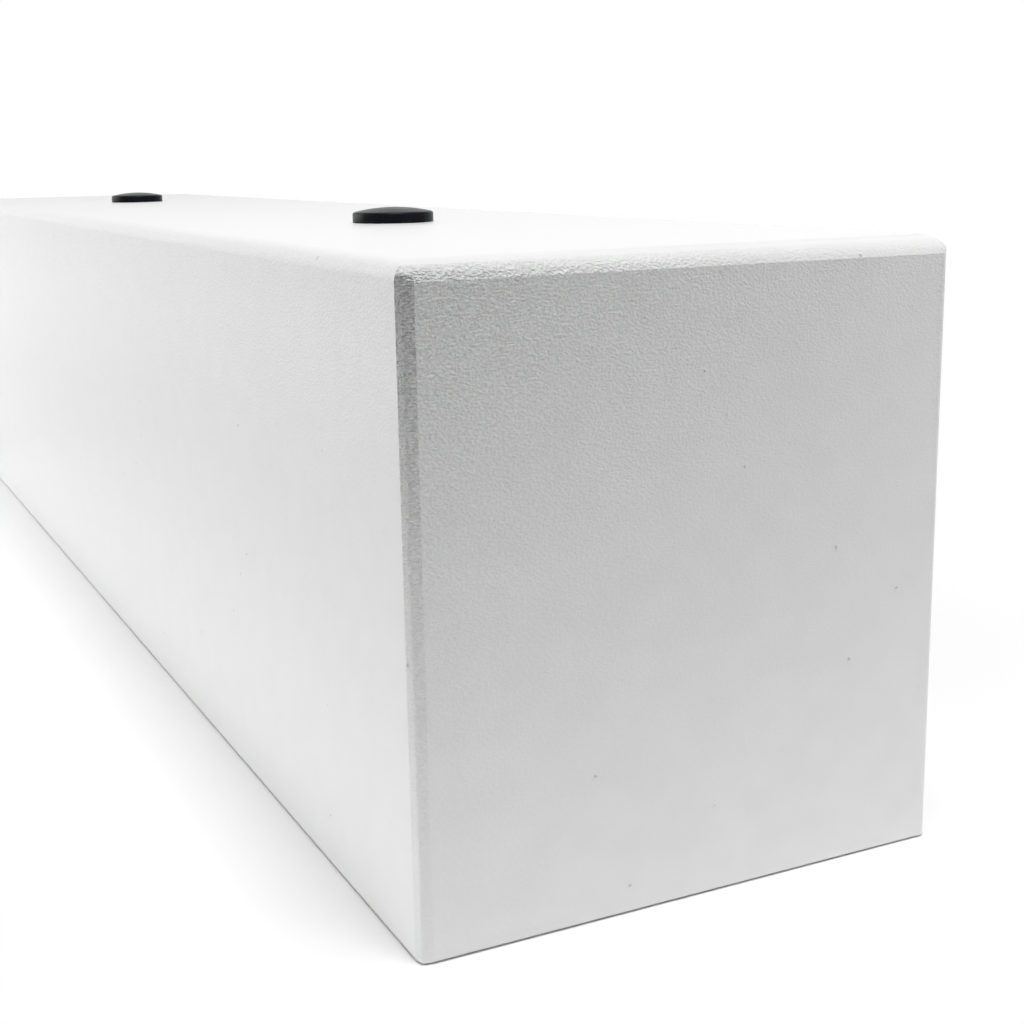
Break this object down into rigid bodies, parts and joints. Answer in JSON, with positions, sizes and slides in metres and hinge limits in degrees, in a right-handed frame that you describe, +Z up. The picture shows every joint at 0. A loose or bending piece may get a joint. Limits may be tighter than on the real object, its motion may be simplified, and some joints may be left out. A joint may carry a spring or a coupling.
{
  "type": "trough planter",
  "caption": "Long narrow powder-coated steel trough: a folded channel with an end plate welded into each end, ground flush, and two push-in rubber drain plugs, stored upside down on its rim.",
  "frame": {"origin": "bottom centre of the bounding box: in the plane of the rim, under the middle of the trough", "axes": "+Z up as stored, from the open rim to the base, because the trough is pictured upside down; +Y along the trough, away from the end nearest the camera; +X across it"},
  "size_m": [0.1016, 0.508, 0.1134],
  "materials": {
    "white_powder_coat": "fine orange-peel texture, low sheen",
    "black_rubber": "smooth moulded, soft sheen"
  },
  "bodies": {
    "trough": {"folded_trough": "white_powder_coat", "end_plate_near": "white_powder_coat", "end_plate_far": "white_powder_coat", "base_weld_near": "white_powder_coat", "base_weld_far": "white_powder_coat", "corner_weld_near_left": "white_powder_coat", "corner_weld_near_right": "white_powder_coat", "corner_weld_far_left": "white_powder_coat", "corner_weld_far_right": "white_powder_coat"},
    "plug_1": {"drain_plug_1": "black_rubber"},
    "plug_2": {"drain_plug_2": "black_rubber"}
  },
  "joints": [
    {"name": "plug_1_pull", "type": "slide", "parent": "trough", "child": "plug_1", "axis": [0, 0, 1], "range_m": [0, 0.03]},
    {"name": "plug_2_pull", "type": "slide", "parent": "trough", "child": "plug_2", "axis": [0, 0, 1], "range_m": [0, 0.03]}
  ]
}
